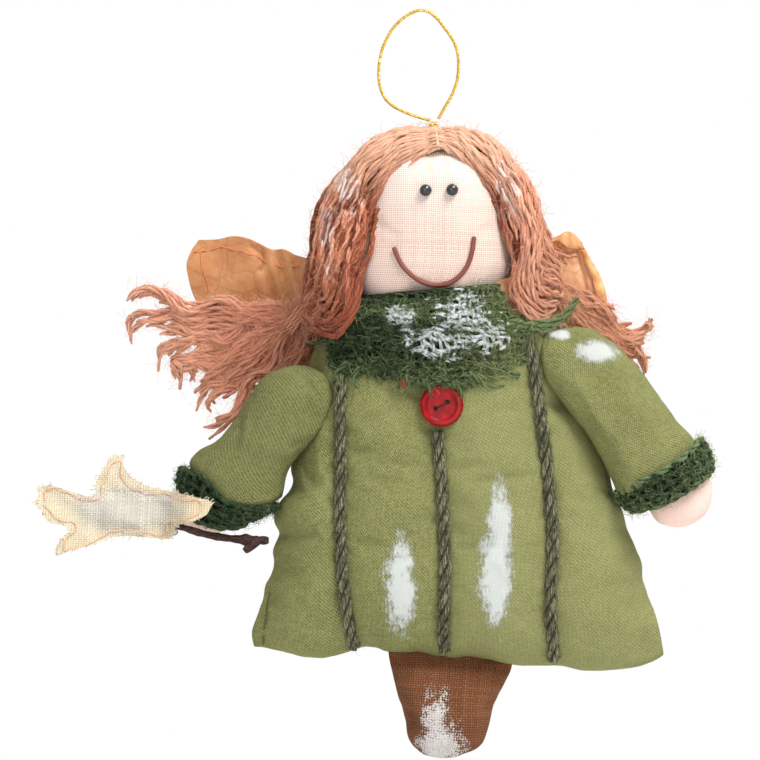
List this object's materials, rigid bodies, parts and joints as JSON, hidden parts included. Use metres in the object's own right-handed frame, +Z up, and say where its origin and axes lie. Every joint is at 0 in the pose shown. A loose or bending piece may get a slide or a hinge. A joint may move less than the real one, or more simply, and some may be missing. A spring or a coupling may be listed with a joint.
{
  "type": "hanging angel ornament",
  "caption": "Stuffed cloth angel doll on a gold loop, with yarn hair, scarf, paper wings, swinging arms and foot, and a star wand.",
  "frame": {"origin": "where a hook or branch carries the gold loop, under the loop's top", "axes": "+Z up as it hangs, the face looks along -Y, +X to the viewer's right"},
  "size_m": [0.1617, 0.0402, 0.18],
  "materials": {
    "gold_cord": "twisted metallic cord",
    "pale_thread": "cotton thread",
    "head_cloth": "open plain weave muslin",
    "filling": "loose polyester fibre",
    "bead": "glossy black bead",
    "smile_wire": "brown coated wire",
    "hair_yarn": "unravelled rust wool yarn",
    "scarf_yarn": "open woven dark green yarn, frayed",
    "coat_cloth": "sage green cotton with white dabs",
    "twine": "three ply dark twine",
    "button": "polished red plastic",
    "dark_thread": "sewing thread",
    "wing_sheet": "crumpled translucent amber sheet, machine stitched",
    "twig": "dark twig",
    "gauze": "cream gauze, machine stitched",
    "leg_linen": "brown linen"
  },
  "bodies": {
    "loop": {"hanging_loop": "gold_cord"},
    "knot": {"loop_knot": "gold_cord"},
    "doll": {"crown_stitch": "pale_thread", "head_front": "head_cloth", "head_back": "head_cloth", "head_filling": "filling", "eye_left": "bead", "eye_right": "bead", "smile_wire": "smile_wire", "hair_left": "hair_yarn", "hair_right": "hair_yarn", "hair_tie_left": "hair_yarn", "hair_tie_right": "hair_yarn", "scarf_band": "scarf_yarn", "scarf_bib": "scarf_yarn", "scarf_end_left": "scarf_yarn", "scarf_end_right": "scarf_yarn", "coat_front": "coat_cloth", "coat_back": "coat_cloth", "coat_filling": "filling", "coat_twine_left": "twine", "coat_twine_centre": "twine", "coat_twine_right": "twine", "button": "button", "button_thread": "dark_thread", "wing_left": "wing_sheet", "wing_right": "wing_sheet"},
    "arm_left": {"sleeve_left_front": "coat_cloth", "sleeve_left_back": "coat_cloth", "sleeve_left_filling": "filling", "cuff_left": "scarf_yarn", "hand_left": "head_cloth", "twig": "twig", "star_front": "gauze", "star_back": "gauze"},
    "arm_right": {"sleeve_right_front": "coat_cloth", "sleeve_right_back": "coat_cloth", "sleeve_right_filling": "filling", "cuff_right": "scarf_yarn", "hand_right": "head_cloth"},
    "foot": {"leg_front": "leg_linen", "leg_back": "leg_linen", "leg_filling": "filling"}
  },
  "joints": [
    {"name": "loop_twirl", "type": "hinge", "parent": "loop", "child": "knot", "pos_m": [0.0038, 0, -0.0274], "axis": [0, 0, 1], "range_deg": [-180, 180]},
    {"name": "loop_swing", "type": "hinge", "parent": "knot", "child": "doll", "pos_m": [0.0038, 0, -0.0274], "axis": [1, 0, 0], "range_deg": [-60, 60]},
    {"name": "arm_left_lift", "type": "hinge", "parent": "doll", "child": "arm_left", "pos_m": [-0.0292, -0.004, -0.0931], "axis": [0, 1, 0], "range_deg": [0, 30]},
    {"name": "arm_right_lift", "type": "hinge", "parent": "doll", "child": "arm_right", "pos_m": [0.0392, -0.004, -0.0852], "axis": [0, -1, 0], "range_deg": [0, 45]},
    {"name": "foot_swing", "type": "hinge", "parent": "doll", "child": "foot", "pos_m": [0.0077, 0, -0.1562], "axis": [0.997, 0, -0.0774], "range_deg": [-40, 40]}
  ]
}
